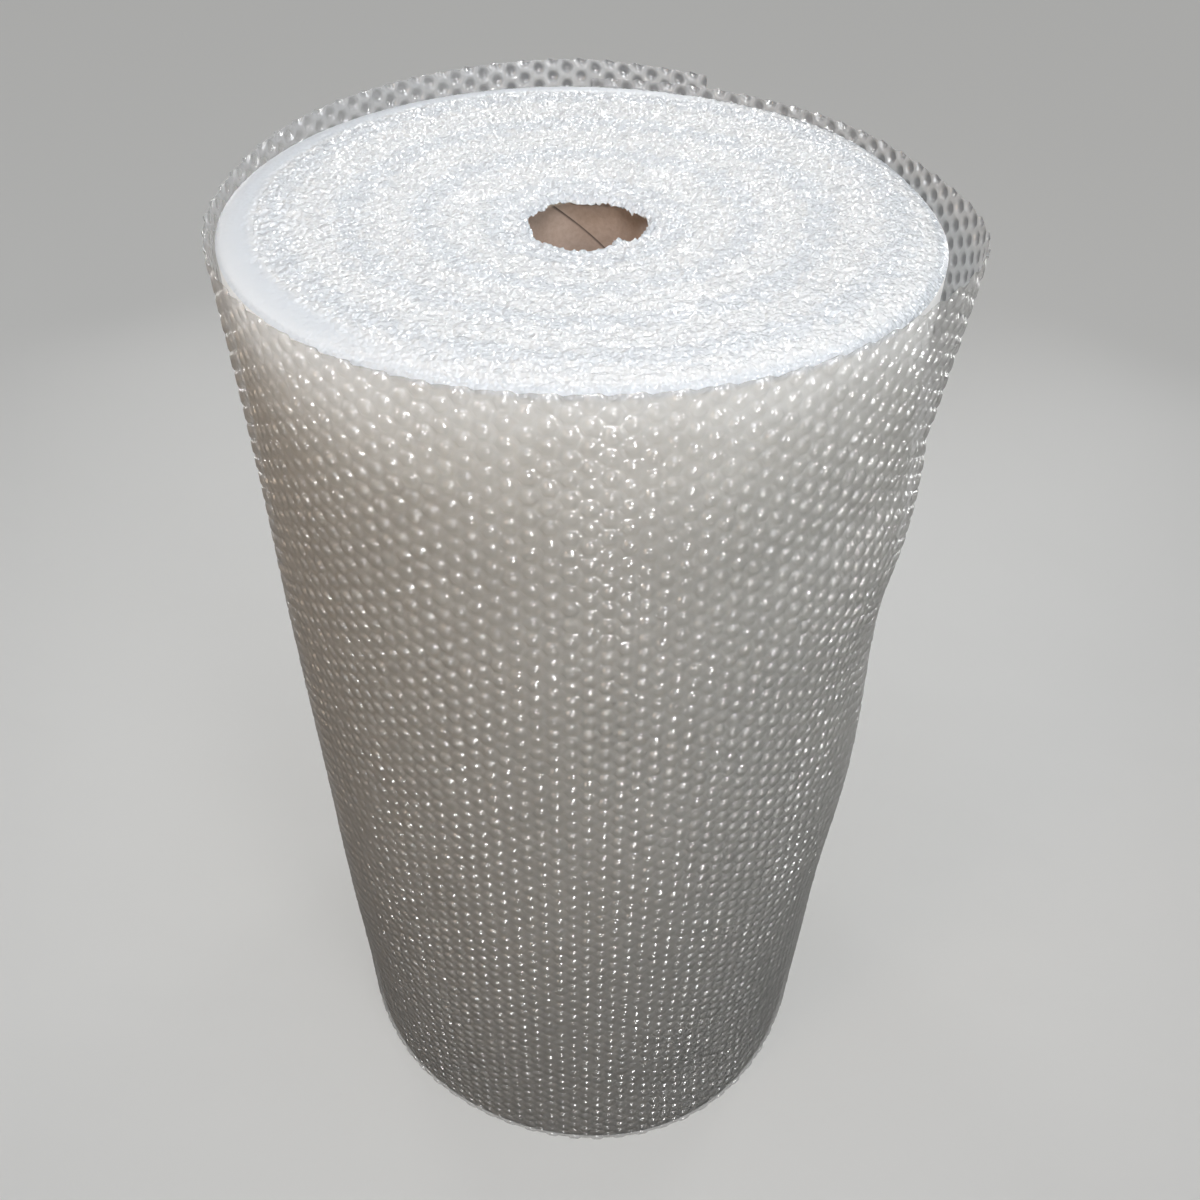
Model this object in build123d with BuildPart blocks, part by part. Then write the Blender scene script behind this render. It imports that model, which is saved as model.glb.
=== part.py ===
"""Roll of bubble wrap standing on its end, wound on a cardboard core tube.

Millimetres, +Z up. The origin is on the core's axis, at the end that the roll stands on.
Angles are degrees round +Z from +X, and the back of the roll is at +Y.
The film winds inwards anticlockwise as seen from above.
"""

import os
from math import radians, sin

from build123d import *

# Film as it comes off the roll
roll_width = 750.0
film_thickness = 4.0

# Bubbles of the loose turn: they stand in upright columns, and each column is one ridge
bubble_pitch = 11.4
bubble_height = 1.2

# Core tube
core_bore_diameter = 76.0
core_wall = 4.0
core_length = 735.0
core_fit = 0.2

# Wound body: each modelled turn stands for several turns of squeezed film
wound_radius = 208.0
turn_count = 14
seam_angle = 90.0

# Slipped turns: the nearer to the core, the lower they stand at the top
dish_depth = 13.0

# Loose outer turn: leaves the wound body at the seam and laps over its own start
lap_gap = 3.0
lap_angle = 22.0

# Free flap: the end of the sheet, slid up along the roll
flap_lift = 15.0

# Pocket where the loose turn leans away from the wound body at the top
pocket_gap = 15.0
pocket_foot = 500.0

# Upright film on each side of the pocket, in columns of bubbles
margin_columns = 3

core_radius = core_bore_diameter / 2 + core_wall
winding_radius = core_radius + core_fit
turn_pitch = (wound_radius - winding_radius) / (turn_count + 1)
lap_step = film_thickness + lap_gap
column_step = bubble_pitch * sin(radians(60))


def column_count(radius, sweep):
    """Number of columns of bubbles along an arc of film."""
    return round(radius * radians(sweep) / column_step)


# Winding frame: its -X axis points at the seam and its +Y axis at the pocket
away_from_seam = Vector(-1, 0).rotate(Axis.Z, seam_angle)
winding_plane = Plane(origin=(0, 0, 0), x_dir=away_from_seam, z_dir=(0, 0, 1))
margin_angle = margin_columns * 180 / column_count(wound_radius, 180)
margin_origin = winding_plane.y_dir * (wound_radius - bubble_height) * sin(radians(margin_angle))
margin_plane = Plane(origin=margin_origin, z_dir=winding_plane.y_dir)
top_plane = Plane.XY.offset(roll_width)


def slipped_profile(half):
    """Half section of the wound body from its axis out, with one step for each turn at the top.

    The pocket side of the turns is half 0, and half 1 continues each of them.
    """
    profile = [(0, 0)]
    for turn in range(turn_count):
        outward = (turn + half) / turn_count
        edge = winding_radius + (turn + half / 2) * turn_pitch
        for radius in (edge if turn else 0, edge + turn_pitch):
            profile.append((radius, roll_width - dish_depth * (1 - outward)))
    profile.append((edge + turn_pitch, 0))
    return profile


def polar(centre, radius, angle):
    """Point at an angle round a centre on the X axis."""
    return Vector(radius, 0).rotate(Axis.Z, angle) + Vector(centre, 0)


def film_strip(plane, centre, radius, start, sweep, bare_columns=0):
    """Clockwise arc of film in a plane: a web with bubbles side by side on its outer side.

    The bubbles reach out to the radius. The columns next to the two ends of the arc may be bare.
    """
    web_radius = radius - bubble_height
    count = column_count(radius, sweep)
    spacing = sweep / count
    with BuildSketch(plane) as section:
        with BuildLine():
            inner = CenterArc((centre, 0), radius - film_thickness, start, -sweep)
            Line(inner @ 0, polar(centre, web_radius, start))
            Line(inner @ 1, polar(centre, web_radius, start - sweep))
            for column in range(count):
                edge = start - column * spacing
                bare = column < bare_columns or column >= count - bare_columns
                ThreePointArc(
                    polar(centre, web_radius, edge),
                    polar(centre, web_radius if bare else radius, edge - spacing / 2),
                    polar(centre, web_radius, edge - spacing),
                )
        make_face()
    return section.sketch


# Core tube
with BuildPart() as core_tube:
    with BuildSketch():
        Circle(core_radius)
        Circle(core_bore_diameter / 2, mode=Mode.SUBTRACT)
    extrude(amount=core_length)
core_tube.part.label = "core_tube"

# Pocket side of the loose turn: upright at its foot and margins, leaning outwards above the mitre
lean = winding_plane.y_dir * pocket_gap + Vector(0, 0, roll_width - pocket_foot)
lean_plane = Plane(origin=(0, 0, pocket_foot), x_dir=away_from_seam, z_dir=lean)
mitre_plane = Plane(origin=(0, 0, pocket_foot), z_dir=lean.normalized() + Vector(0, 0, 1))

with BuildPart() as pocket_margins:
    extrude(film_strip(winding_plane, 0, wound_radius, 180, 180), amount=roll_width)
    split(bisect_by=margin_plane, keep=Keep.BOTTOM)

with BuildPart() as pocket_base:
    extrude(
        film_strip(winding_plane, 0, wound_radius, 180, 180, margin_columns),
        amount=roll_width,
    )
    split(bisect_by=margin_plane, keep=Keep.TOP)
    split(bisect_by=mitre_plane, keep=Keep.BOTTOM)

with BuildPart() as pocket_mouth:
    extrude(
        film_strip(lean_plane, 0, wound_radius, 180, 180, margin_columns),
        amount=roll_width,
        both=True,
    )
    split(bisect_by=margin_plane, keep=Keep.TOP)
    split(bisect_by=mitre_plane, keep=Keep.TOP)
    split(bisect_by=top_plane, keep=Keep.BOTTOM)

# Free flap: rises from halfway round the other side, over the seam, to the sheet's cut end
flap_hinge = away_from_seam * (-lap_step / 2)
flap_slope = away_from_seam * flap_lift + Vector(0, 0, wound_radius + lap_step)

with BuildPart() as free_flap:
    rising_film = film_strip(winding_plane, -lap_step / 2, wound_radius + lap_step / 2, -90, 90)
    lapping_film = film_strip(winding_plane, 0, wound_radius + lap_step, 180, lap_angle)
    extrude(rising_film, amount=roll_width + flap_lift)
    extrude(lapping_film, amount=roll_width + flap_lift)
    split(
        bisect_by=Plane(origin=flap_hinge + Vector(0, 0, roll_width), z_dir=flap_slope),
        keep=Keep.BOTTOM,
    )
    split(bisect_by=Plane(origin=flap_hinge, z_dir=flap_slope), keep=Keep.TOP)

# Wound turns and the loose outer turn: one sheet from the core to its free end
with BuildPart() as bubble_wrap:
    for half, turning in enumerate((1, -1)):
        centre = away_from_seam * (-half * turn_pitch / 2)
        section_plane = Plane(origin=centre, x_dir=away_from_seam, z_dir=-winding_plane.y_dir)
        with BuildSketch(section_plane):
            with BuildLine():
                Polyline(*slipped_profile(half), close=True)
            make_face()
        revolve(axis=Axis(centre, (0, 0, turning)), revolution_arc=180)
    with BuildSketch():
        Circle(winding_radius)
    extrude(amount=roll_width, mode=Mode.SUBTRACT)

    extrude(
        film_strip(winding_plane, -lap_step / 2, wound_radius + lap_step / 2, 0, 90),
        amount=roll_width,
    )
    add(pocket_margins.part)
    add(pocket_base.part)
    add(pocket_mouth.part)
    add(free_flap.part)
bubble_wrap.part.label = "bubble_wrap"

os.makedirs("parts", exist_ok=True)
export_step(core_tube.part, "parts/core_tube.step")
export_step(bubble_wrap.part, "parts/bubble_wrap.step")
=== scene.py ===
"""Looks of a roll of bubble wrap that stands on its end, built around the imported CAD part.

The film is laid out flat, one bubble copied over the sheet, and then wound on the roll.
Angles are degrees round +Z from +X, and the back of the roll is at +Y. Sizes are millimetres
until a mesh is written, and then metres.
"""

from math import cos, pi, radians, sin

import bpy
import numpy as np
from bpy.props import FloatProperty, FloatVectorProperty, IntProperty, PointerProperty
from mathutils import Matrix, Vector


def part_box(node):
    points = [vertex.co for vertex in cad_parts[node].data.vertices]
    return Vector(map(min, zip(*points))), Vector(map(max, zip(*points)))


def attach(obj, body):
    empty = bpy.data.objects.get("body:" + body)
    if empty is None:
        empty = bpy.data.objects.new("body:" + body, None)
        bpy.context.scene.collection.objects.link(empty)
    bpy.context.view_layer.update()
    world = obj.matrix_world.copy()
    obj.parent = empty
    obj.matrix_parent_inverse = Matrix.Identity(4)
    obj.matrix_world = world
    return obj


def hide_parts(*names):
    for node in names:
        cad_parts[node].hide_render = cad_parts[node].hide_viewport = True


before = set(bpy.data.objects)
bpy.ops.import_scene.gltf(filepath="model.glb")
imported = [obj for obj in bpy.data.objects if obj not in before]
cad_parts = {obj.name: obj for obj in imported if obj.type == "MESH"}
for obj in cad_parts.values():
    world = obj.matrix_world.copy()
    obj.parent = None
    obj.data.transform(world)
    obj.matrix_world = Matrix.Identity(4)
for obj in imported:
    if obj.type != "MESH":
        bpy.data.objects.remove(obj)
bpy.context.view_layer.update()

bl_info = {
    "name": "Bubble wrap roll",
    "version": (1, 0, 0),
    "blender": (4, 5, 0),
    "location": "View3D > Sidebar > Roll",
    "description": "Builds a roll of bubble wrap with a loose outer turn on a cardboard core",
    "category": "Add Mesh",
}

MM = 0.001

# Winding: the loose turn starts at the seam and goes round clockwise to its free end
SEAM_ANGLE = 90.0
FREE_END_ANGLE = -292.0
LAP_STEP = 5.0
SHEET_RADIUS = 210.5

# Bubble grid: bubbles stand one above the other, and neighbouring columns are half a pitch apart
BUBBLE_PITCH = 11.37
COLUMN_STEP = BUBBLE_PITCH * 3**0.5 / 2
BUBBLE_RADIUS = 5.0
SHEET_ROWS = 68
SHEET_PAIRS = 72
DOME_RINGS = ((0.8, 0.0), (0.9, 0.65), (1.6, 0.6))
DOME_HEIGHT = 1.25

# Pocket: where the loose turn stands away at the right, between two heights
POCKET_ANGLE = -12.0
POCKET_SPREAD = 20.0
POCKET_HEIGHTS = (570.0, 760.0)

# Slack under the pocket: folds round the right side, each with its height, spread and rise
SLACK_ANGLE = -18.0
SLACK_SPREAD = 42.0
SLACK_FOLDS = ((345.0, 110.0, 6.5), (580.0, 60.0, 8.0), (636.0, 12.0, -2.5))

# Foot of the loose turn: it flares out at one side, up to a height
FLARE_ANGLE = -62.0
FLARE_SPREAD = 26.0
FLARE_RISE = 7.0
FLARE_TOP = 90.0

# Wound body: its radius, and where it swells or falls away, with angle, spread and rise
BODY_RADIUS = 203.5
BODY_SWELLS = ((12.0, 24.0, -8.5), (62.0, 30.0, -7.5), (-44.0, 14.0, 2.0))
BODY_LEAVES_FILM = (520.0, 700.0)
FILM_GAP = 1.5
CORE_FIT = 0.2

# Soft edge of the top end, the share of the height at which the side turns to it, and the
# depth of the wound body's lid under the cut edges, at its rim and further in
ROUNDED_EDGE = 13.0
ROUNDED_DROP = 4.0
ROUNDED_FROM = 0.913
LID_DEPTH = 1.2
LID_DEPTH_INSIDE = 2.7

# Dish of the top end, from its outer radius in to the core
DISH_RADII = (176.0, 42.0)

# Film edges at the ends: the square sheet that they are cut from, and the spacing of the rings
END_WIDTH = 420.0
RING_PITCH = 3.6
BAND_PITCH = 41.0

# Spiral of the core's inner ply: its rise in one turn in metres, and where it starts in turns
PLY_RISE = 0.206
PLY_START = 3.215

# Film: share of haze in its webs and bubbles, on the roll and where it stands alone, its share
# of gloss, and the relief in metres of its domes in the gloss, its domes in the haze and its wrinkles
WEB_HAZE = (0.34, 0.6)
BUBBLE_HAZE = (0.315, 0.45)
FILM_GLOSS = 0.1
GLOSS_RELIEF = 0.0024
HAZE_RELIEF = 0.001
WRINKLE_RELIEF = 0.0011

# Camera: its place in metres, how far it looks down, its roll in radians and its lens in mm
CAMERA_PLACE = (0.0112, -0.623, 1.009)
CAMERA_DOWN = 42.2
CAMERA_ROLL = 0.016
CAMERA_LENS = 33.74


def linear(colour):
    """Linear RGBA of an sRGB hex colour."""
    channels = [int(colour[start : start + 2], 16) / 255 for start in (1, 3, 5)]
    return [c / 12.92 if c <= 0.04045 else ((c + 0.055) / 1.055) ** 2.4 for c in channels] + [1.0]


def add_node(tree, kind, settings=None, inputs=None):
    """Adds a node, sets its settings, and links or sets its inputs."""
    node = tree.nodes.new(kind)
    for name, value in (settings or {}).items():
        setattr(node, name, value)
    for name, value in (inputs or {}).items():
        if isinstance(value, bpy.types.NodeSocket):
            tree.links.new(value, node.inputs[name])
        else:
            node.inputs[name].default_value = value
    return node


def new_material(name):
    """Empty node material and its tree."""
    material = bpy.data.materials.new(name)
    material.use_nodes = True
    material.node_tree.nodes.clear()
    return material, material.node_tree


def shown_to_eye(tree):
    """Socket that is 1 for what the camera sees, straight, mirrored or through the film."""
    path = add_node(tree, "ShaderNodeLightPath")
    seen = add_node(
        tree, "ShaderNodeMath", {"operation": "MAXIMUM"},
        {0: path.outputs["Is Camera Ray"], 1: path.outputs["Is Glossy Ray"]},
    )
    shown = add_node(
        tree, "ShaderNodeMath", {"operation": "MAXIMUM"},
        {0: seen.outputs["Value"], 1: path.outputs["Is Transmission Ray"]},
    )
    return shown.outputs["Value"]


def swell(value, centre, spread):
    """Bell curve of height 1."""
    return np.exp(-(((value - centre) / spread) ** 2))


def ease(value, low, high):
    """Smooth step from 0 at low to 1 at high."""
    share = np.clip((value - low) / (high - low), 0, 1)
    return share * share * (3 - 2 * share)


def loose_radius(angle, height):
    """Outer radius of the loose turn in mm, at angles from the free end to the seam."""
    sizes = bpy.context.scene.roll_sizes
    run = SEAM_ANGLE - angle
    radius = sizes.wound_radius / MM + LAP_STEP * np.clip((run - 180) / 180, 0, 1)
    mouth = swell(angle, POCKET_ANGLE, POCKET_SPREAD)
    slack = swell(angle, SLACK_ANGLE, SLACK_SPREAD)
    radius = radius + sizes.pocket_gap / MM * ease(height, *POCKET_HEIGHTS) * mouth
    for middle, spread, rise in SLACK_FOLDS:
        radius = radius + rise * swell(height, middle, spread) * slack
    flare = swell(angle, FLARE_ANGLE, FLARE_SPREAD) * (1 - ease(height, 0, FLARE_TOP))
    radius = radius + FLARE_RISE * flare
    around = np.radians(angle)
    radius = radius + 0.7 * np.sin(3 * around + height / 90) + 0.5 * np.sin(7 * around - height / 47)
    return radius


def slid_up(angle):
    """How far the film has slid up at an angle of the loose turn, in mm."""
    run = SEAM_ANGLE - angle
    lift = bpy.context.scene.roll_sizes.flap_lift / MM * np.clip(np.sin(np.radians(angle)), 0, 1)
    return np.where(run > 270, lift * (1 - 0.35 * ease(run, 355, 382)), 0)


def body_radius(angle):
    """Outer radius of the wound body in mm: it drops away behind the pocket and the back right."""
    turned = (angle + 180) % 360 - 180
    radius = BODY_RADIUS + 0.8 * np.sin(np.radians(2 * turned + 40))
    for centre, spread, rise in BODY_SWELLS:
        radius = radius + rise * swell(turned, centre, spread)
    return radius


def side_radius(angle, height):
    """Outer radius of the wound body in mm: close behind the film, but for the pocket's hollow."""
    turned = (angle + 270) % 360 - 270
    close = loose_radius(turned, height) - DOME_HEIGHT - FILM_GAP
    return close + (body_radius(angle) - close) * ease(height, *BODY_LEAVES_FILM)


def mouth_radius(angle):
    """Inner radius in mm of the film that has crept over the rim of the core, with one tuft."""
    waves = 1.2 * np.sin(np.radians(3 * angle + 50)) + 0.9 * np.sin(np.radians(7 * angle))
    return bpy.context.scene.roll_sizes.core_bore / MM - 4 + waves - 7 * swell(angle, -52, 9)


def rim_height(radius, edge):
    """Height of the top end in mm: dished towards the core, and rounded off at its edge."""
    sizes = bpy.context.scene.roll_sizes
    outside, inside = DISH_RADII
    inward = np.clip((outside - radius) / (outside - inside), 0, 1)
    rounded = ROUNDED_DROP * np.clip((radius - edge) / ROUNDED_EDGE + 1, 0, 1) ** 2
    return sizes.roll_width / MM - sizes.dish_depth / MM * inward - rounded


def vertices_of(mesh):
    """Vertex places of a mesh as an array."""
    places = np.empty(len(mesh.vertices) * 3)
    mesh.vertices.foreach_get("co", places)
    return places.reshape(-1, 3)


def set_vertices(mesh, places):
    """Writes vertex places back to a mesh."""
    mesh.vertices.foreach_set("co", np.ascontiguousarray(places, dtype=np.float32).ravel())
    mesh.update()


def write_sheet_map(mesh, flat):
    """UV map of where each vertex lies on the flat film, in metres."""
    layer = mesh.uv_layers.new(name="film_sheet")
    corner = np.empty(len(mesh.loops), dtype=np.int32)
    mesh.loops.foreach_get("vertex_index", corner)
    layer.data.foreach_set("uv", np.ascontiguousarray(flat[corner], dtype=np.float32).ravel())


def write_bubble_map(mesh, flat):
    """UV map of where each face corner lies from the middle of its own bubble, in radii."""
    corner = np.empty(len(mesh.loops), dtype=np.int32)
    mesh.loops.foreach_get("vertex_index", corner)
    sizes = np.empty(len(mesh.polygons), dtype=np.int32)
    mesh.polygons.foreach_get("loop_total", sizes)
    face = np.repeat(np.arange(len(sizes)), sizes)
    middle = np.stack([np.bincount(face, flat[corner, axis]) / sizes for axis in (0, 1)], axis=1)
    best = np.full(len(sizes), np.inf)
    centre = np.zeros_like(middle)
    for side in (0, 1):
        column = np.floor(middle[:, 0] / COLUMN_STEP) + side
        shift = (column % 2 - 1) * BUBBLE_PITCH / 2
        row = np.rint((middle[:, 1] - shift) / BUBBLE_PITCH)
        found = np.stack((column * COLUMN_STEP, row * BUBBLE_PITCH + shift), axis=1)
        away = np.hypot(*(middle - found).T)
        nearer = away < best
        best[nearer] = away[nearer]
        centre[nearer] = found[nearer]
    layer = mesh.uv_layers.new(name="bubble")
    offset = (flat[corner, :2] - centre[face]) / BUBBLE_RADIUS
    layer.data.foreach_set("uv", np.ascontiguousarray(offset, dtype=np.float32).ravel())


def write_attribute(mesh, name, values):
    """Float value at each vertex for the materials."""
    attribute = mesh.attributes.new(name, "FLOAT", "POINT")
    attribute.data.foreach_set("value", np.ascontiguousarray(values, dtype=np.float32))


def frame_top(node_name):
    """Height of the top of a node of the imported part, in metres."""
    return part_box(node_name)[1][2]


def start_piece(name):
    """Names the new active object and drops the selection on all others."""
    piece = bpy.context.view_layer.objects.active
    bpy.ops.object.select_all(action="DESELECT")
    piece.select_set(True)
    piece.name = name
    piece.data.name = name
    return piece


def finish_piece(piece, material, node_name):
    """Gives a finished piece its material and its place in the frame."""
    piece.data.materials.clear()
    piece.data.materials.append(material)
    bpy.context.view_layer.objects.active = piece
    bpy.ops.object.shade_smooth()
    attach(piece, "root")
    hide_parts(node_name)


def film_material():
    """LDPE bubble film, blown and heat sealed.

    Clear, so that it is as pale as the turns behind it, and hazier where it stands alone. What
    shows the bubbles is the glint of lamps on each dome and on the fine wrinkles drawn across
    the sheet. Light scatters in the film, so that the haze itself shows less relief than the
    gloss. The webs between the bubbles are a little paler. Where the film stands alone, its inner
    side has painted shade: greyer webs and dark bubbles, which let a greyer tint through.
    """
    looks = bpy.context.scene.roll_looks
    material, tree = new_material("LDPE bubble film")
    sheet = add_node(tree, "ShaderNodeUVMap", {"uv_map": "film_sheet"})
    cell = add_node(tree, "ShaderNodeUVMap", {"uv_map": "bubble"})
    across = add_node(
        tree, "ShaderNodeVectorMath", {"operation": "LENGTH"}, {0: cell.outputs["UV"]}
    )
    dome = add_node(
        tree, "ShaderNodeMapRange", {"interpolation_type": "SMOOTHSTEP"},
        {"Value": across.outputs["Value"], "From Min": 1.0, "From Max": 0.35},
    )
    square = add_node(
        tree, "ShaderNodeMath", {"operation": "MULTIPLY"},
        {0: across.outputs["Value"], 1: across.outputs["Value"]},
    )
    cap = add_node(
        tree, "ShaderNodeMapRange", None,
        {"Value": square.outputs["Value"], "To Min": 1.0, "To Max": 0.0},
    )
    bubble = add_node(
        tree, "ShaderNodeBump", None,
        {"Height": cap.outputs["Result"], "Strength": 1.0, "Distance": GLOSS_RELIEF},
    )
    axes = add_node(tree, "ShaderNodeSeparateXYZ", None, {"Vector": sheet.outputs["UV"]})
    creased = add_node(
        tree, "ShaderNodeMapRange", None,
        {"Value": axes.outputs["Y"], "From Min": 0.1, "From Max": 0.6, "To Min": 0.1, "To Max": 1.0},
    )
    stretched = add_node(
        tree, "ShaderNodeMapping", None, {"Vector": sheet.outputs["UV"], "Scale": (110, 420, 1)}
    )
    wrinkles = add_node(
        tree, "ShaderNodeTexNoise", None,
        {"Vector": stretched.outputs["Vector"], "Scale": 1.0, "Detail": 2.0, "Roughness": 0.5},
    )
    bump = add_node(
        tree, "ShaderNodeBump", None,
        {"Height": wrinkles.outputs["Fac"], "Strength": creased.outputs["Result"],
         "Distance": WRINKLE_RELIEF, "Normal": bubble.outputs["Normal"]},
    )
    # loose: where the film stands away from the roll; it makes the film hazier there and masks the
    # painted shade of its inner side
    loose = add_node(tree, "ShaderNodeAttribute", {"attribute_name": "loose"})
    shape = add_node(tree, "ShaderNodeNewGeometry")
    hollow = add_node(
        tree, "ShaderNodeMath", {"operation": "MULTIPLY"},
        {0: dome.outputs["Result"], 1: loose.outputs["Fac"]},
    )
    # Inner side of loose film: painted shade, with greyer webs and dark bubbles where it stands away
    # from the roll
    inside = add_node(
        tree, "ShaderNodeMix", {"data_type": "RGBA"},
        {"Factor": hollow.outputs["Value"], "A": looks.shaded_inner_web, "B": looks.shaded_inner_bubble},
    )
    tone = add_node(
        tree, "ShaderNodeMix", {"data_type": "RGBA"},
        {"Factor": shape.outputs["Backfacing"], "A": looks.web_colour, "B": inside.outputs["Result"]},
    )
    soft = add_node(
        tree, "ShaderNodeBump", {"invert": True},
        {"Height": cap.outputs["Result"], "Strength": 1.0, "Distance": HAZE_RELIEF},
    )
    skin = add_node(
        tree, "ShaderNodeBsdfDiffuse", None,
        {"Color": tone.outputs["Result"], "Normal": soft.outputs["Normal"]},
    )
    # Bubbles on the inner side of loose film let a greyer tint through: painted shade
    behind = add_node(
        tree, "ShaderNodeMath", {"operation": "MULTIPLY"},
        {0: shape.outputs["Backfacing"], 1: loose.outputs["Fac"]},
    )
    tint = add_node(
        tree, "ShaderNodeMix", {"data_type": "RGBA"},
        {"Factor": behind.outputs["Value"], "A": looks.bubble_tint, "B": looks.shaded_loose_tint},
    )
    glass = add_node(
        tree, "ShaderNodeMix", {"data_type": "RGBA"},
        {"Factor": dome.outputs["Result"], "A": linear("#FFFFFF"), "B": tint.outputs["Result"]},
    )
    clear = add_node(tree, "ShaderNodeBsdfTransparent", None, {"Color": glass.outputs["Result"]})
    web_haze = add_node(
        tree, "ShaderNodeMapRange", None,
        {"Value": loose.outputs["Fac"], "To Min": WEB_HAZE[0], "To Max": WEB_HAZE[1]},
    )
    bubble_haze = add_node(
        tree, "ShaderNodeMapRange", None,
        {"Value": loose.outputs["Fac"], "To Min": BUBBLE_HAZE[0], "To Max": BUBBLE_HAZE[1]},
    )
    veil = add_node(
        tree, "ShaderNodeMapRange", None,
        {"Value": dome.outputs["Result"], "To Min": web_haze.outputs["Result"],
         "To Max": bubble_haze.outputs["Result"]},
    )
    milky = add_node(
        tree, "ShaderNodeMixShader", None,
        {0: veil.outputs["Result"], 1: clear.outputs["BSDF"], 2: skin.outputs["BSDF"]},
    )
    shine = add_node(
        tree, "ShaderNodeBsdfGlossy", None, {"Roughness": 0.1, "Normal": bump.outputs["Normal"]}
    )
    mixed = add_node(
        tree, "ShaderNodeMixShader", None,
        {0: FILM_GLOSS, 1: milky.outputs["Shader"], 2: shine.outputs["BSDF"]},
    )
    add_node(tree, "ShaderNodeOutputMaterial", None, {"Surface": mixed.outputs["Shader"]})
    return material


def wound_material():
    """Many turns of LDPE film seen through each other: opaque, milky white and softly uneven.

    Light from above soaks into the top end, so the side is lit as if it leaned back there.
    """
    looks = bpy.context.scene.roll_looks
    material, tree = new_material("LDPE film in the roll")
    place = add_node(tree, "ShaderNodeTexCoord")
    clouds = add_node(
        tree, "ShaderNodeTexNoise", None,
        {"Vector": place.outputs["Object"], "Scale": 30.0, "Detail": 4.0, "Roughness": 0.6},
    )
    tone = add_node(
        tree, "ShaderNodeMix", {"data_type": "RGBA"},
        {"Factor": clouds.outputs["Fac"], "A": looks.depth_colour, "B": looks.body_colour},
    )
    axes = add_node(tree, "ShaderNodeSeparateXYZ", None, {"Vector": place.outputs["Object"]})
    soak = add_node(
        tree, "ShaderNodeMapRange", {"interpolation_type": "SMOOTHERSTEP"},
        {"Value": axes.outputs["Z"], "From Min": 0.62, "From Max": 0.77, "To Max": 0.8},
    )
    lift = add_node(tree, "ShaderNodeCombineXYZ", None, {"Z": soak.outputs["Result"]})
    shape = add_node(tree, "ShaderNodeNewGeometry")
    leaning = add_node(
        tree, "ShaderNodeVectorMath", {"operation": "ADD"},
        {0: shape.outputs["Normal"], 1: lift.outputs["Vector"]},
    )
    normal = add_node(
        tree, "ShaderNodeVectorMath", {"operation": "NORMALIZE"}, {0: leaning.outputs["Vector"]}
    )
    skin = add_node(
        tree, "ShaderNodeBsdfPrincipled", None,
        {"Base Color": tone.outputs["Result"], "Roughness": 0.5, "IOR": 1.3,
         "Normal": normal.outputs["Vector"]},
    )
    add_node(tree, "ShaderNodeOutputMaterial", None, {"Surface": skin.outputs["BSDF"]})
    return material


def edge_material():
    """Cut edges of LDPE film: frosty white beads, lit through, with small hard sparkles.

    The flattened outer turns at the back are smoother and a little bluer. The film by the core,
    faint rings and the rim's shoulder are a little greyer and bluer too.
    """
    looks = bpy.context.scene.roll_looks
    material, tree = new_material("LDPE film cut edges")
    place = add_node(tree, "ShaderNodeTexCoord")
    grain = add_node(
        tree, "ShaderNodeTexVoronoi", None, {"Vector": place.outputs["Object"], "Scale": 400.0}
    )
    calm = add_node(tree, "ShaderNodeAttribute", {"attribute_name": "calm"})
    rough = add_node(
        tree, "ShaderNodeMapRange", None,
        {"Value": calm.outputs["Fac"], "To Min": 0.7, "To Max": 0.15},
    )
    dull = add_node(
        tree, "ShaderNodeMapRange", None,
        {"Value": calm.outputs["Fac"], "To Min": 0.2, "To Max": 0.6},
    )
    bump = add_node(
        tree, "ShaderNodeBump", {"invert": True},
        {"Height": grain.outputs["Distance"], "Strength": rough.outputs["Result"], "Distance": 0.0014},
    )
    clouds = add_node(
        tree, "ShaderNodeTexNoise", None,
        {"Vector": place.outputs["Object"], "Scale": 45.0, "Detail": 4.0, "Roughness": 0.6},
    )
    flat = add_node(tree, "ShaderNodeAttribute", {"attribute_name": "cool"})
    cool = add_node(
        tree, "ShaderNodeMath", {"operation": "MULTIPLY_ADD"},
        {0: clouds.outputs["Fac"], 1: 0.5, 2: flat.outputs["Fac"]},
    )
    tone = add_node(
        tree, "ShaderNodeMix", {"data_type": "RGBA", "clamp_factor": True},
        {"Factor": cool.outputs["Value"], "A": looks.edge_colour, "B": looks.edge_cool},
    )
    skin = add_node(
        tree, "ShaderNodeBsdfPrincipled", None,
        {"Base Color": tone.outputs["Result"], "Roughness": dull.outputs["Result"], "IOR": 1.51,
         "Normal": bump.outputs["Normal"]},
    )
    glow = add_node(tree, "ShaderNodeBsdfTranslucent", None, {"Color": tone.outputs["Result"]})
    mixed = add_node(
        tree, "ShaderNodeMixShader", None,
        {0: 0.15, 1: skin.outputs["BSDF"], 2: glow.outputs["BSDF"]},
    )
    add_node(tree, "ShaderNodeOutputMaterial", None, {"Surface": mixed.outputs["Shader"]})
    return material


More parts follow.
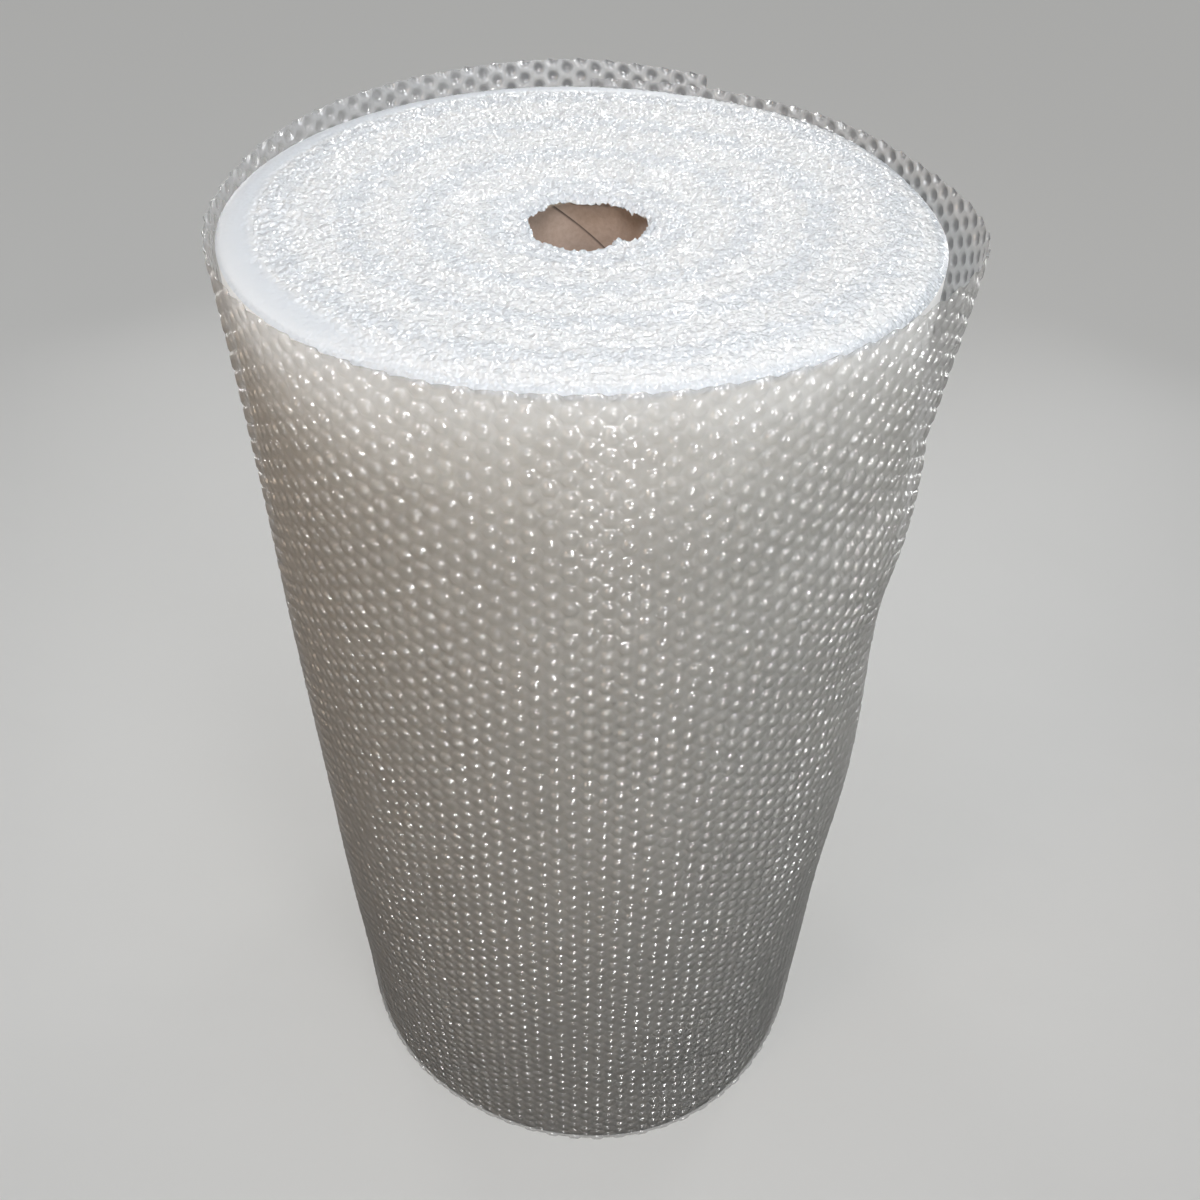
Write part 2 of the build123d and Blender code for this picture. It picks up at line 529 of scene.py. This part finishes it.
def card_material():
    """Spirally wound kraft board: matt brown, with fine fibres, a painted shadow along the edge of
    the inner ply running down in a spiral, and a paler cut end."""
    looks = bpy.context.scene.roll_looks
    material, tree = new_material("Kraft board")
    place = add_node(tree, "ShaderNodeTexCoord")
    fibre = add_node(
        tree, "ShaderNodeTexNoise", None,
        {"Vector": place.outputs["Object"], "Scale": 320.0, "Detail": 5.0, "Roughness": 0.7},
    )
    board = add_node(
        tree, "ShaderNodeMix", {"data_type": "RGBA"},
        {"Factor": fibre.outputs["Fac"], "A": looks.card_dark, "B": looks.card_light},
    )
    axes = add_node(tree, "ShaderNodeSeparateXYZ", None, {"Vector": place.outputs["Object"]})
    angle = add_node(
        tree, "ShaderNodeMath", {"operation": "ARCTAN2"}, {0: axes.outputs["Y"], 1: axes.outputs["X"]}
    )
    start = add_node(
        tree, "ShaderNodeMath", {"operation": "MULTIPLY_ADD"},
        {0: axes.outputs["Z"], 1: -1 / PLY_RISE, 2: PLY_START},
    )
    spiral = add_node(
        tree, "ShaderNodeMath", {"operation": "MULTIPLY_ADD"},
        {0: angle.outputs["Value"], 1: 0.5 / pi, 2: start.outputs["Value"]},
    )
    turn = add_node(tree, "ShaderNodeMath", {"operation": "FRACT"}, {0: spiral.outputs["Value"]})
    step = add_node(
        tree, "ShaderNodeMapRange", {"interpolation_type": "SMOOTHSTEP"},
        {"Value": turn.outputs["Value"], "From Min": 0.0, "From Max": 0.012},
    )
    # Painted shadow: a dark line along the step of the inner ply's edge
    seam = add_node(
        tree, "ShaderNodeMix", {"data_type": "RGBA"},
        {"Factor": step.outputs["Result"], "A": looks.card_seam_shadow, "B": board.outputs["Result"]},
    )
    end = add_node(
        tree, "ShaderNodeMapRange", {"interpolation_type": "SMOOTHSTEP"},
        {"Value": axes.outputs["Z"], "From Min": frame_top("core_tube") - 0.004,
         "From Max": frame_top("core_tube") - 0.002},
    )
    tone = add_node(
        tree, "ShaderNodeMix", {"data_type": "RGBA"},
        {"Factor": end.outputs["Result"], "A": seam.outputs["Result"], "B": looks.card_cut},
    )
    ply = add_node(
        tree, "ShaderNodeBump", None,
        {"Height": step.outputs["Result"], "Strength": 1.0, "Distance": 0.0006},
    )
    bump = add_node(
        tree, "ShaderNodeBump", None,
        {"Height": fibre.outputs["Fac"], "Strength": 0.3, "Distance": 0.0004,
         "Normal": ply.outputs["Normal"]},
    )
    skin = add_node(
        tree, "ShaderNodeBsdfPrincipled", None,
        {"Base Color": tone.outputs["Result"], "Roughness": 0.85, "Normal": bump.outputs["Normal"]},
    )
    add_node(tree, "ShaderNodeOutputMaterial", None, {"Surface": skin.outputs["BSDF"]})
    return material


class RollSizes(bpy.types.PropertyGroup):
    """Sizes of the roll."""

    roll_width: FloatProperty(
        name="Roll width", description="Width of the film, which is the roll's height",
        default=0.75, min=0.1, unit="LENGTH",
    )
    wound_radius: FloatProperty(
        name="Wound radius", description="Outer radius of the loose turn where it starts",
        default=0.208, min=0.05, unit="LENGTH",
    )
    core_bore: FloatProperty(
        name="Core bore", description="Inside radius of the cardboard core",
        default=0.038, min=0.01, unit="LENGTH",
    )
    core_wall: FloatProperty(
        name="Core wall", description="Thickness of the cardboard core",
        default=0.004, min=0.001, unit="LENGTH",
    )
    core_length: FloatProperty(
        name="Core length", description="Length of the cardboard core",
        default=frame_top("core_tube"), min=0.1, unit="LENGTH",
    )
    dish_depth: FloatProperty(
        name="Dish depth", description="How far the turns next to the core stand below the rim",
        default=0.013, min=0.0, unit="LENGTH",
    )
    flap_lift: FloatProperty(
        name="Flap lift", description="How far the end of the film has slid up at the back",
        default=0.011, min=0.0, unit="LENGTH",
    )
    pocket_gap: FloatProperty(
        name="Pocket gap", description="How far the loose turn leans out at the right",
        default=0.013, min=0.0, unit="LENGTH",
    )
    seed: IntProperty(
        name="Seed", description="Start of the random unevenness of the film", default=7, min=0
    )


class RollLooks(bpy.types.PropertyGroup):
    """Colours of the roll."""

    web_colour: FloatVectorProperty(
        name="Web", description="Film between the bubbles", subtype="COLOR", size=4,
        default=linear("#EDECE8"), min=0, max=1,
    )
    # Painted shade: inner side of loose film, greyer between the bubbles
    shaded_inner_web: FloatVectorProperty(
        name="Inner web", description="Inner side of loose film, between the bubbles",
        subtype="COLOR", size=4, default=linear("#D8DADC"), min=0, max=1,
    )
    # Painted shade: inner side of loose film, dark in the bubbles
    shaded_inner_bubble: FloatVectorProperty(
        name="Inner bubble", description="Inner side of loose film, in the bubbles",
        subtype="COLOR", size=4, default=linear("#8C8E91"), min=0, max=1,
    )
    bubble_tint: FloatVectorProperty(
        name="Bubble tint", description="What a bubble lets through", subtype="COLOR", size=4,
        default=linear("#F7F6F5"), min=0, max=1,
    )
    # Painted shade: greyer tint let through by bubbles seen from inside loose film
    shaded_loose_tint: FloatVectorProperty(
        name="Loose tint", description="What a bubble lets through where the film stands alone",
        subtype="COLOR", size=4, default=linear("#B6B7B9"), min=0, max=1,
    )
    body_colour: FloatVectorProperty(
        name="Body", description="Wound turns seen through the film", subtype="COLOR", size=4,
        default=linear("#F1F1EE"), min=0, max=1,
    )
    depth_colour: FloatVectorProperty(
        name="Depth", description="Darker places between the wound turns", subtype="COLOR", size=4,
        default=linear("#DEDCD6"), min=0, max=1,
    )
    edge_colour: FloatVectorProperty(
        name="Cut edge", description="Edges of the film at the ends of the roll", subtype="COLOR",
        size=4, default=linear("#F3F4F3"), min=0, max=1,
    )
    # Also used for the greyer, bluer tone by the core, in faint rings and at the rim's shoulder
    edge_cool: FloatVectorProperty(
        name="Flat edge", description="Flattened film at the outer turns", subtype="COLOR",
        size=4, default=linear("#E3E8EC"), min=0, max=1,
    )
    card_seam_shadow: FloatVectorProperty(
        name="Card seam", description="Shadow along the edge of the inner ply", subtype="COLOR",
        size=4, default=linear("#4A3A30"), min=0, max=1,
    )
    card_cut: FloatVectorProperty(
        name="Card cut", description="Cut end of the core", subtype="COLOR", size=4,
        default=linear("#CFC0AA"), min=0, max=1,
    )
    card_light: FloatVectorProperty(
        name="Card light", description="Lighter fibres of the core", subtype="COLOR", size=4,
        default=linear("#B8A393"), min=0, max=1,
    )
    card_dark: FloatVectorProperty(
        name="Card dark", description="Darker fibres of the core", subtype="COLOR", size=4,
        default=linear("#8C786A"), min=0, max=1,
    )
    floor_colour: FloatVectorProperty(
        name="Floor", description="Plain pale floor", subtype="COLOR", size=4,
        default=linear("#E4E4E2"), min=0, max=1,
    )


class ROLL_OT_core(bpy.types.Operator):
    """Builds the cardboard core tube"""

    bl_idname = "roll.core"
    bl_label = "Cardboard core"

    def execute(self, context):
        sizes = context.scene.roll_sizes
        bpy.ops.object.select_all(action="DESELECT")
        bpy.ops.mesh.primitive_cylinder_add(
            vertices=128, radius=sizes.core_bore, depth=sizes.core_length,
            end_fill_type="NOTHING", location=(0, 0, sizes.core_length / 2),
        )
        piece = start_piece("cardboard_core")
        bpy.ops.object.transform_apply(location=True)
        wall = piece.modifiers.new("wall", "SOLIDIFY")
        wall.thickness = sizes.core_wall
        wall.offset = 1
        bpy.ops.object.modifier_apply(modifier="wall")
        places = vertices_of(piece.data)
        top = places[:, 2] > sizes.core_length - 0.001
        angle = np.arctan2(places[:, 1], places[:, 0])
        places[top, 2] += 0.0006 * np.sin(5 * angle[top]) - 0.0008
        set_vertices(piece.data, places)
        finish_piece(piece, card_material(), "core_tube")
        return {"FINISHED"}


class ROLL_OT_body(bpy.types.Operator):
    """Builds the wound body that shows through the loose film"""

    bl_idname = "roll.body"
    bl_label = "Wound body"

    def execute(self, context):
        sizes = context.scene.roll_sizes
        side_rows, lid_rows, hole_rows, foot_rows = 96, 24, 8, 8
        along = side_rows + lid_rows + hole_rows + foot_rows
        around = 216
        bpy.ops.object.select_all(action="DESELECT")
        bpy.ops.mesh.primitive_torus_add(
            major_segments=around, minor_segments=along, major_radius=0.1, minor_radius=0.05
        )
        piece = start_piece("wound_body")
        index = np.arange(around * along)
        angle = index // along * 360 / around
        row = index % along
        bore = (sizes.core_bore + sizes.core_wall) / MM + CORE_FIT
        outer = body_radius(angle)
        up = np.where(row < side_rows, row / (side_rows - 1) * ROUNDED_FROM, 1)
        inward = np.clip((row - side_rows) / lid_rows, 0, 1)
        down = np.clip((row - side_rows - lid_rows) / hole_rows, 0, 1)
        outward = np.clip((row - along + foot_rows) / foot_rows, 0, 1)
        rim = rim_height(outer, outer) - LID_DEPTH
        height = 1 + (rim - 1) * up
        radius = side_radius(angle, height)
        lid = row > side_rows
        radius[lid] = (outer + (bore - outer) * inward)[lid]
        sunk = LID_DEPTH_INSIDE + (LID_DEPTH - LID_DEPTH_INSIDE) * ease(radius, outer - 8, outer)
        height[lid] = (rim_height(radius, outer) - sunk)[lid]
        height = height + (1 - height) * down
        radius = radius + (outer - bore) * outward
        turned = np.radians(angle)
        places = np.stack((radius * np.cos(turned), radius * np.sin(turned), height), axis=1)
        set_vertices(piece.data, places * MM)
        finish_piece(piece, wound_material(), "bubble_wrap")
        return {"FINISHED"}


class ROLL_OT_ends(bpy.types.Operator):
    """Winds the cut edges of the film at the two ends of the roll"""

    bl_idname = "roll.ends"
    bl_label = "Film edges"

    def lay(self, name, step, level, facing, material):
        """Film edges over one end of the roll, as a sheet of beads in faint rings."""
        random = np.random.default_rng(bpy.context.scene.roll_sizes.seed)
        count = int(END_WIDTH / step)
        bpy.ops.object.select_all(action="DESELECT")
        bpy.ops.mesh.primitive_grid_add(
            x_subdivisions=count, y_subdivisions=count, size=END_WIDTH * MM
        )
        piece = start_piece(name)
        places = vertices_of(piece.data) / MM
        radius = np.hypot(places[:, 0], places[:, 1])
        angle = np.degrees(np.arctan2(places[:, 1], places[:, 0]))
        edge = body_radius(angle)
        mouth = mouth_radius(angle)
        beads = random.normal(size=(count + 1, count + 1))
        for axis in (0, 1):
            beads = beads + (np.roll(beads, 1, axis) + np.roll(beads, -1, axis)) / 4
        beads = (beads / beads.std()).ravel()
        swirl = np.zeros_like(radius)
        for wave in random.uniform(8, 26, size=14):
            way = random.uniform(0, 2 * pi)
            across = places[:, 0] * cos(way) + places[:, 1] * sin(way)
            swirl += np.sin(2 * pi * across / wave + random.uniform(0, 2 * pi)) / 14**0.5
        rings = np.sin(2 * pi * (radius / RING_PITCH - angle / 360) + 1.5 * swirl)
        turned = (angle + 60) % 360 - 60
        calm = ease(radius, edge - 24, edge - 12) * ease(turned, 40, 100) * (1 - ease(turned, 215, 260))
        fringe = 1 - ease(radius, mouth + 1, mouth + 13)
        inner = 1 - ease(radius, edge - 6, edge)
        lump = (0.36 * beads + 0.2 * swirl + 0.3 * rings) * (1 - 0.8 * calm) * (1 + 0.8 * fringe)
        drop = 3 * (1 - ease(radius, mouth, mouth + 3.5)) + 0.9 * ease(radius, edge - 3, edge)
        places[:, 2] = level(radius, edge) + facing * (lump * inner - drop - 0.4)
        for limit, skirt in ((edge, radius > edge - 0.6 * step), (mouth, radius < mouth + 0.5 * step)):
            places[skirt, :2] *= (limit / radius)[skirt, None]
        set_vertices(piece.data, places * MM)
        bands = ease(np.sin(2 * pi * radius / BAND_PITCH + 0.6 * swirl), -0.2, 0.9)
        write_attribute(piece.data, "calm", calm)
        shoulder = ease(radius, edge - 9, edge - 1)
        # cool: greyer, bluer tone at the flattened outer turns, by the core, in faint rings and at the
        # rim's shoulder
        cool = np.maximum.reduce((calm, 0.9 * fringe, 0.5 * bands, shoulder))
        write_attribute(piece.data, "cool", cool)
        outside = (radius > edge + step) | (radius < mouth - step)
        bpy.ops.object.mode_set(mode="EDIT")
        bpy.ops.mesh.select_all(action="DESELECT")
        bpy.ops.object.mode_set(mode="OBJECT")
        piece.data.vertices.foreach_set("select", outside)
        bpy.ops.object.mode_set(mode="EDIT")
        bpy.ops.mesh.delete(type="VERT")
        if facing < 0:
            bpy.ops.mesh.select_all(action="SELECT")
            bpy.ops.mesh.flip_normals()
        bpy.ops.object.mode_set(mode="OBJECT")
        finish_piece(piece, material, "bubble_wrap")

    def execute(self, context):
        material = edge_material()
        self.lay("top_turns", 1.2, rim_height, 1, material)
        self.lay("bottom_turns", 2.4, lambda radius, edge: 2.6 + 0 * radius, -1, material)
        return {"FINISHED"}


class ROLL_OT_film(bpy.types.Operator):
    """Builds the loose outer turn of bubble film"""

    bl_idname = "roll.film"
    bl_label = "Loose film"

    def bubble_cell(self):
        """One bubble of the flat film: a six-sided web with a low dome that has a flat top."""
        bpy.ops.object.select_all(action="DESELECT")
        bpy.ops.mesh.primitive_circle_add(
            vertices=6, radius=BUBBLE_PITCH / 3**0.5 * MM, fill_type="NGON", rotation=(0, 0, pi / 6)
        )
        cell = start_piece("bubble_cell")
        bpy.ops.object.transform_apply(rotation=True)
        bpy.ops.object.mode_set(mode="EDIT")
        bpy.ops.mesh.select_all(action="SELECT")
        for inset, rise in DOME_RINGS:
            bpy.ops.mesh.inset(thickness=inset * MM, depth=rise * MM)
        bpy.ops.mesh.poke(offset=0)
        bpy.ops.object.mode_set(mode="OBJECT")
        return cell

    def lay_out(self, cell, name, first_pair, pairs):
        """Copies the bubble over a stretch of the flat sheet."""
        bpy.ops.object.select_all(action="DESELECT")
        cell.select_set(True)
        bpy.context.view_layer.objects.active = cell
        bpy.ops.object.duplicate()
        piece = start_piece(name)
        runs = (
            ("pair", 2, (COLUMN_STEP, BUBBLE_PITCH / 2, 0)),
            ("rows", SHEET_ROWS, (0, BUBBLE_PITCH, 0)),
            ("columns", pairs, (2 * COLUMN_STEP, 0, 0)),
        )
        for run, count, offset in runs:
            copies = piece.modifiers.new(run, "ARRAY")
            copies.count = count
            copies.use_relative_offset = False
            copies.use_constant_offset = True
            copies.constant_offset_displace = [shift * MM for shift in offset]
            bpy.ops.object.modifier_apply(modifier=run)
        bpy.ops.object.mode_set(mode="EDIT")
        bpy.ops.mesh.select_all(action="SELECT")
        bpy.ops.mesh.remove_doubles(threshold=0.00005)
        bpy.ops.object.mode_set(mode="OBJECT")
        places = vertices_of(piece.data)
        places[:, 0] += first_pair * 2 * COLUMN_STEP * MM
        places[:, 1] -= BUBBLE_PITCH / 2 * MM
        set_vertices(piece.data, places)
        return piece

    def trim(self, piece):
        """Cuts the sheet to the film's width and to its two ends."""
        sizes = bpy.context.scene.roll_sizes
        length = radians(SEAM_ANGLE - FREE_END_ANGLE) * SHEET_RADIUS * MM
        cuts = (
            ((0, 0, 0), (0, -1, 0)),
            ((0, sizes.roll_width, 0), (0, 1, 0)),
            ((0, 0, 0), (-1, 0, 0)),
            ((length, 0, 0), (1, 0, 0)),
        )
        bpy.ops.object.mode_set(mode="EDIT")
        for place, outward in cuts:
            bpy.ops.mesh.select_all(action="SELECT")
            bpy.ops.mesh.bisect(plane_co=place, plane_no=outward, clear_outer=True)
        bpy.ops.object.mode_set(mode="OBJECT")

    def wrap(self, piece, heights):
        """Wraps the flat sheet round the roll, with each bubble a little different."""
        flat = vertices_of(piece.data) / MM
        column = np.rint(flat[:, 0] / COLUMN_STEP).astype(int)
        row = np.floor(flat[:, 1] / BUBBLE_PITCH + 1 - 0.5 * (column % 2)).astype(int)
        bulge_height = flat[:, 2] * heights[row, column]
        angle = FREE_END_ANGLE + np.degrees(flat[:, 0] / SHEET_RADIUS)
        radius = loose_radius(angle, flat[:, 1]) - DOME_HEIGHT + bulge_height
        turned = np.radians(angle)
        scallop = 0.5 * np.sin(2 * pi * flat[:, 0] / COLUMN_STEP) * ease(flat[:, 1], 738, 750)
        height = flat[:, 1] + slid_up(angle) + scallop
        places = np.stack((radius * np.cos(turned), radius * np.sin(turned), height), axis=1)
        set_vertices(piece.data, places * MM)
        write_sheet_map(piece.data, flat[:, :2] * MM)
        write_bubble_map(piece.data, flat)
        stand_off = radius - bulge_height - side_radius(angle, flat[:, 1]) - FILM_GAP
        hem = 0.12 * ease(flat[:, 1], 725, 748)
        apart = ease(stand_off, 3, 10) * ease(height, 540, 745)
        # loose makes the film hazier where it stands away, and masks the painted shade on its inner
        # side
        write_attribute(piece.data, "loose", np.maximum(apart, hem))

    def execute(self, context):
        random = np.random.default_rng(context.scene.roll_sizes.seed)
        heights = random.uniform(0.7, 1.15, size=(SHEET_ROWS + 4, 2 * SHEET_PAIRS + 4))
        cell = self.bubble_cell()
        material = film_material()
        share = SHEET_PAIRS // 3
        for part, name in enumerate(("flap_film", "front_film", "pocket_film")):
            piece = self.lay_out(cell, name, part * share, share)
            self.trim(piece)
            self.wrap(piece, heights)
            finish_piece(piece, material, "bubble_wrap")
        bpy.data.objects.remove(cell)
        return {"FINISHED"}


class ROLL_OT_stage(bpy.types.Operator):
    """Sets up the floor, the lights and the camera"""

    bl_idname = "roll.stage"
    bl_label = "Stage"

    def floor(self):
        """Pale floor that keeps the shadow, and throws little light back up the roll."""
        looks = bpy.context.scene.roll_looks
        bpy.ops.object.select_all(action="DESELECT")
        bpy.ops.mesh.primitive_plane_add(size=16)
        floor = start_piece("floor")
        material, tree = new_material("Pale floor")
        pale = add_node(tree, "ShaderNodeBsdfDiffuse", None, {"Color": looks.floor_colour})
        light = add_node(
            tree, "ShaderNodeEmission", None, {"Color": looks.floor_colour, "Strength": 1.0}
        )
        lit = add_node(
            tree, "ShaderNodeMixShader", None,
            {0: 0.5, 1: pale.outputs["BSDF"], 2: light.outputs["Emission"]},
        )
        dim = add_node(tree, "ShaderNodeBsdfDiffuse", None, {"Color": linear("#343434")})
        mixed = add_node(
            tree, "ShaderNodeMixShader", None,
            {0: shown_to_eye(tree), 1: dim.outputs["BSDF"], 2: lit.outputs["Shader"]},
        )
        add_node(tree, "ShaderNodeOutputMaterial", None, {"Surface": mixed.outputs["Shader"]})
        floor.data.materials.append(material)

    def surroundings(self):
        """Pale walls that the film mirrors, which light the roll only a little."""
        world = bpy.data.worlds.new("Studio")
        world.use_nodes = True
        tree = world.node_tree
        tree.nodes.clear()
        strength = add_node(
            tree, "ShaderNodeMapRange", None,
            {"Value": shown_to_eye(tree), "To Min": 0.012, "To Max": 0.6},
        )
        walls = add_node(
            tree, "ShaderNodeBackground", None,
            {"Color": linear("#FFFFFF"), "Strength": strength.outputs["Result"]},
        )
        add_node(tree, "ShaderNodeOutputWorld", None, {"Surface": walls.outputs["Background"]})
        bpy.context.scene.world = world

    def lamp(self, name, place, target, size, power, colour="#FFFFFF", spread=180, glint=False):
        """Square softbox that faces a point. A glint lamp only shows in what is glossy."""
        bpy.ops.object.select_all(action="DESELECT")
        bpy.ops.object.light_add(type="AREA", location=place)
        lamp = bpy.context.view_layer.objects.active
        lamp.name = name
        lamp.data.size = size
        lamp.data.energy = power
        lamp.data.color = linear(colour)[:3]
        lamp.data.spread = radians(spread)
        lamp.visible_camera = False
        lamp.visible_diffuse = not glint
        facing = Vector(target) - Vector(place)
        lamp.rotation_euler = facing.to_track_quat("-Z", "Y").to_euler()

    def execute(self, context):
        scene = context.scene
        self.floor()
        self.lamp("overhead_softbox", (0, -0.25, 1.8), (0, -0.1, 0.7), 0.6, 10, "#F6F9FF")
        self.lamp("front_softbox", (0.75, -1.3, 1.45), (0, 0, 0.69), 0.5, 1.25, "#FDFCFA", spread=58)
        self.lamp("left_softbox", (-1.1, -1.0, 1.5), (0, 0, 0.7), 0.5, 0.85, "#FFE3C6", spread=66)
        self.lamp("back_left_softbox", (-1.0, 1.5, 0.45), (0, 0, 0.42), 0.5, 2.6, spread=80)
        self.lamp("back_right_softbox", (1.2, 1.35, 0.45), (0, 0, 0.42), 0.5, 2.6, spread=80)
        self.lamp("left_window", (-0.6, -2.2, 1.5), (0, 0, 0.4), 0.35, 10, glint=True)
        self.lamp("right_window", (0.9, -1.9, 2.2), (0, 0, 0.4), 0.35, 34, glint=True)
        self.lamp("low_window", (0.2, -2.3, 0.55), (0, 0, 0.4), 0.35, 20, glint=True)
        self.lamp("back_window", (0.1, 2.5, 2.1), (0, 0, 0.7), 0.35, 25, glint=True)
        self.lamp("back_left_window", (-1.9, 1.0, 1.9), (0, 0, 0.4), 0.35, 30, glint=True)
        self.lamp("back_right_window", (1.9, 0.8, 1.9), (0, 0, 0.4), 0.35, 30, glint=True)
        self.surroundings()

        down = radians(CAMERA_DOWN)
        forward = Vector((0, cos(down), -sin(down)))
        right = Vector((1, 0, 0))
        up = right.cross(forward)
        across = right * cos(CAMERA_ROLL) + up * sin(CAMERA_ROLL)
        upright = up * cos(CAMERA_ROLL) - right * sin(CAMERA_ROLL)
        turn = Matrix((across, upright, -forward)).transposed().to_4x4()
        bpy.ops.object.camera_add()
        camera = context.view_layer.objects.active
        camera.matrix_world = Matrix.Translation(CAMERA_PLACE) @ turn
        camera.data.lens = CAMERA_LENS
        camera.data.sensor_width = 36
        camera.data.clip_start = 0.05
        scene.camera = camera
        scene.view_settings.view_transform = "Standard"
        return {"FINISHED"}


class ROLL_PT_panel(bpy.types.Panel):
    """Sizes, colours and pieces of the roll"""

    bl_idname = "ROLL_PT_panel"
    bl_label = "Bubble wrap roll"
    bl_space_type = "VIEW_3D"
    bl_region_type = "UI"
    bl_category = "Roll"

    def draw(self, context):
        for group in (context.scene.roll_sizes, context.scene.roll_looks):
            for name in group.__annotations__:
                self.layout.prop(group, name)
        for operator in OPERATORS:
            self.layout.operator(operator.bl_idname)


OPERATORS = (ROLL_OT_core, ROLL_OT_body, ROLL_OT_ends, ROLL_OT_film, ROLL_OT_stage)
CLASSES = (RollSizes, RollLooks, *OPERATORS, ROLL_PT_panel)


def register():
    """Registers the classes and the scene's settings."""
    for cls in CLASSES:
        bpy.utils.register_class(cls)
    bpy.types.Scene.roll_sizes = PointerProperty(type=RollSizes)
    bpy.types.Scene.roll_looks = PointerProperty(type=RollLooks)


def unregister():
    """Removes the settings and the classes."""
    del bpy.types.Scene.roll_looks
    del bpy.types.Scene.roll_sizes
    for cls in reversed(CLASSES):
        bpy.utils.unregister_class(cls)


def main():
    """Builds the roll and its stage."""
    register()
    bpy.ops.roll.core()
    bpy.ops.roll.body()
    bpy.ops.roll.ends()
    bpy.ops.roll.film()
    bpy.ops.roll.stage()


if __name__ == "__main__":
    main()
